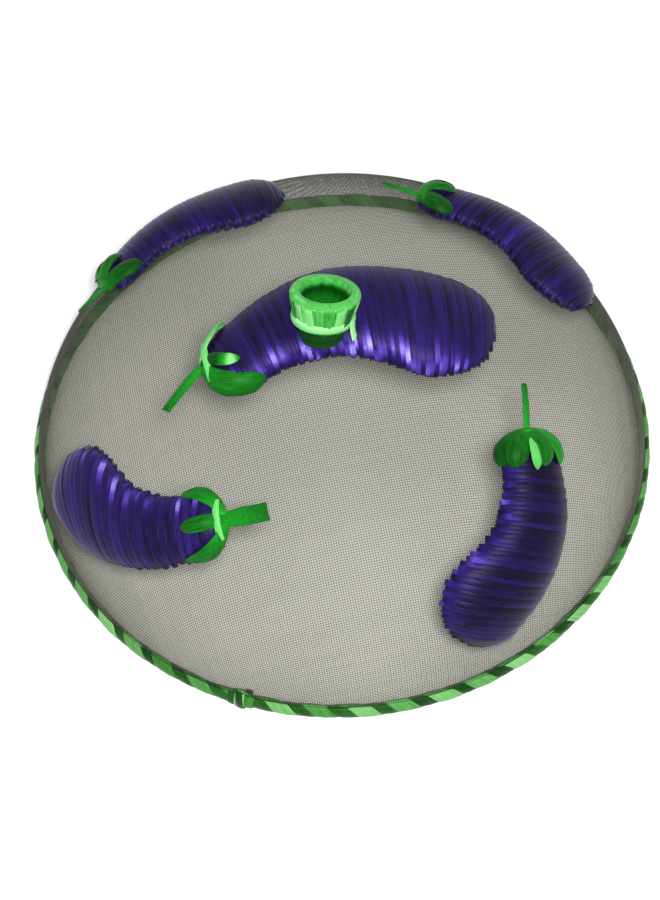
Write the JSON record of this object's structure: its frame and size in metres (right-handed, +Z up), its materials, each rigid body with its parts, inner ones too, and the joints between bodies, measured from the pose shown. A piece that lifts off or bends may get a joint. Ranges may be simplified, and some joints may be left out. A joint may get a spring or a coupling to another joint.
{
  "type": "mesh food cover",
  "caption": "Round domed food cover of woven wire mesh on a ribbon-bound rim, with stitched ribbon aubergines and a wound ring grip on top.",
  "frame": {"origin": "centre of the rim, in the plane that the cover stands on", "axes": "+Z up through the crown, -Y towards the viewer of the picture, +X to the right in the picture"},
  "size_m": [0.3498, 0.3498, 0.1421],
  "materials": {
    "woven_mesh": "fine woven steel wire, painted a dull light grey",
    "hoop_wire": "drawn steel wire",
    "rim_ribbon": "green satin ribbon wrapped at a slant, in light and dark turns",
    "leaf_ribbon": "glossy green satin ribbon",
    "pale_ribbon": "glossy pale green satin ribbon",
    "dark_ribbon": "deep green satin ribbon",
    "purple_ribbon": "glossy purple satin ribbon in side by side strands",
    "back_stitching": "purple satin ribbon, flat against the inside of the mesh",
    "padding": "dark purple felt padding under the ribbon",
    "ring_core": "plain moulded ring under the ribbon"
  },
  "bodies": {
    "root": {"mesh_dome": "woven_mesh", "rim_hoop": "hoop_wire", "rim_binding": "rim_ribbon", "rim_knot": "leaf_ribbon", "grip_seat": "dark_ribbon", "grip_ring": "ring_core", "grip_winding": "leaf_ribbon", "grip_collar": "pale_ribbon", "grip_tail": "pale_ribbon", "front_left_aubergine_padding": "padding", "front_left_aubergine_winding": "purple_ribbon", "front_left_aubergine_back_stitches": "back_stitching", "front_left_aubergine_calyx": "leaf_ribbon", "front_left_aubergine_stem": "leaf_ribbon", "front_right_aubergine_padding": "padding", "front_right_aubergine_winding": "purple_ribbon", "front_right_aubergine_back_stitches": "back_stitching", "front_right_aubergine_calyx": "leaf_ribbon", "front_right_aubergine_stem": "leaf_ribbon", "back_right_aubergine_padding": "padding", "back_right_aubergine_winding": "purple_ribbon", "back_right_aubergine_back_stitches": "back_stitching", "back_right_aubergine_calyx": "leaf_ribbon", "back_right_aubergine_stem": "leaf_ribbon", "back_left_aubergine_padding": "padding", "back_left_aubergine_winding": "purple_ribbon", "back_left_aubergine_back_stitches": "back_stitching", "back_left_aubergine_calyx": "leaf_ribbon", "back_left_aubergine_stem": "leaf_ribbon", "crown_aubergine_padding": "padding", "crown_aubergine_winding": "purple_ribbon", "crown_aubergine_back_stitches": "back_stitching", "crown_aubergine_calyx": "leaf_ribbon", "crown_aubergine_stem": "leaf_ribbon"}
  },
  "joints": []
}
